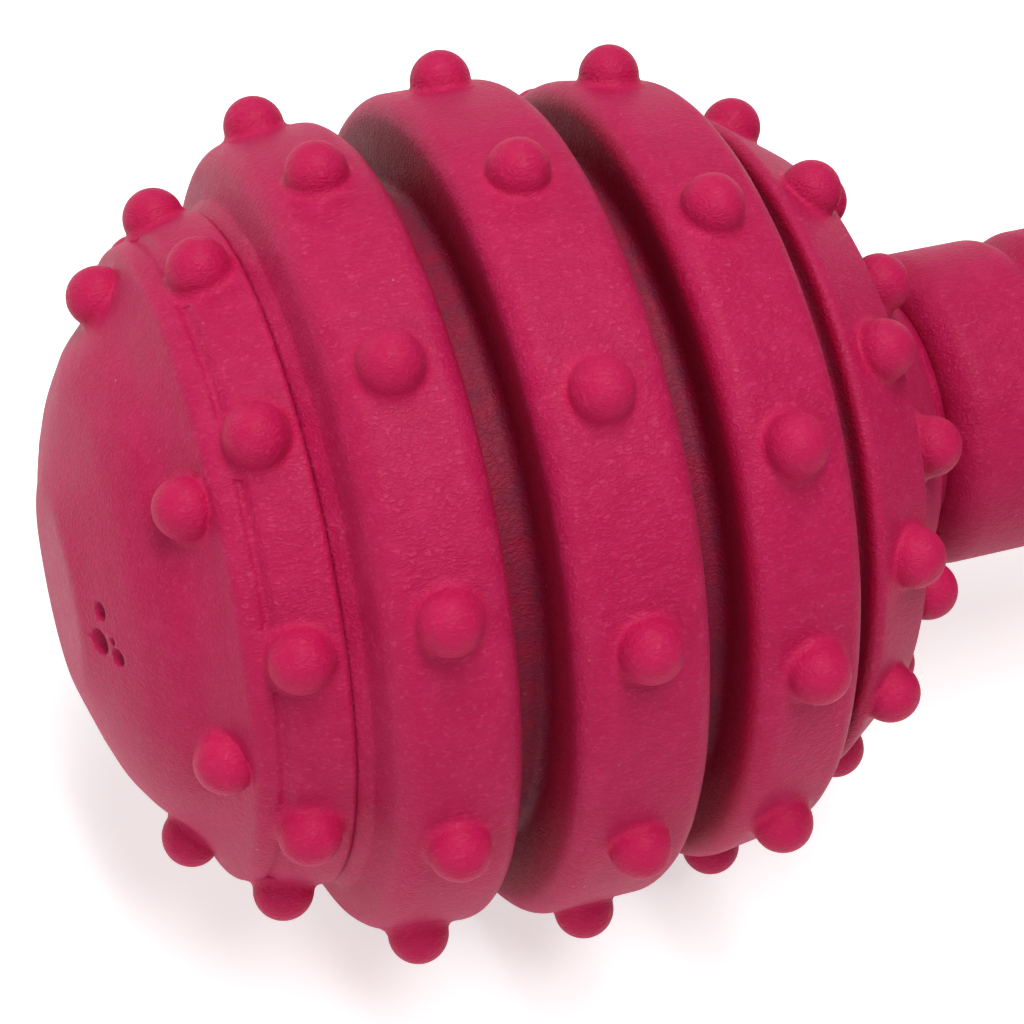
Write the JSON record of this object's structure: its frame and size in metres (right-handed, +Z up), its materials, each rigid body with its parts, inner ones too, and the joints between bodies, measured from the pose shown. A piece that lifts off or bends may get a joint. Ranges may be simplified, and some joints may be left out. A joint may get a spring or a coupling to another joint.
{
  "type": "rubber chew toy",
  "caption": "Dumbbell dog chew toy in soft rubber: two hollow ribbed balls with nubs on a ringed handle, with a loose bell in each ball.",
  "frame": {"origin": "centre of the toy's footprint, on the surface it lies on", "axes": "+X along the toy from the left ball to the right ball, +Z up as it lies on its nubs"},
  "size_m": [0.162, 0.0658, 0.0651],
  "materials": {
    "pink_rubber": "matte moulded",
    "bell_steel": "nickel plated sheet",
    "pellet_steel": "plain steel ball"
  },
  "bodies": {
    "toy": {"left_end_cap": "pink_rubber", "left_ball_shell": "pink_rubber", "handle": "pink_rubber", "right_ball_shell": "pink_rubber", "right_end_cap": "pink_rubber"},
    "left_bell": {"left_bell_top": "bell_steel", "left_bell_bottom": "bell_steel", "left_bell_loop": "bell_steel"},
    "left_pellet": {"left_bell_pellet": "pellet_steel"},
    "right_bell": {"right_bell_top": "bell_steel", "right_bell_bottom": "bell_steel", "right_bell_loop": "bell_steel"},
    "right_pellet": {"right_bell_pellet": "pellet_steel"}
  },
  "joints": [
    {"name": "left_bell_roll", "type": "hinge", "parent": "toy", "child": "left_bell", "pos_m": [-0.0482, 0, 0.03194], "axis": [1, 0, 0], "continuous": true},
    {"name": "left_pellet_rattle", "type": "slide", "parent": "left_bell", "child": "left_pellet", "axis": [0, 0, 1], "range_m": [0, 0.0116]},
    {"name": "right_bell_roll", "type": "hinge", "parent": "toy", "child": "right_bell", "pos_m": [0.0482, 0, 0.03194], "axis": [1, 0, 0], "continuous": true},
    {"name": "right_pellet_rattle", "type": "slide", "parent": "right_bell", "child": "right_pellet", "axis": [0, 0, 1], "range_m": [0, 0.0116]}
  ]
}
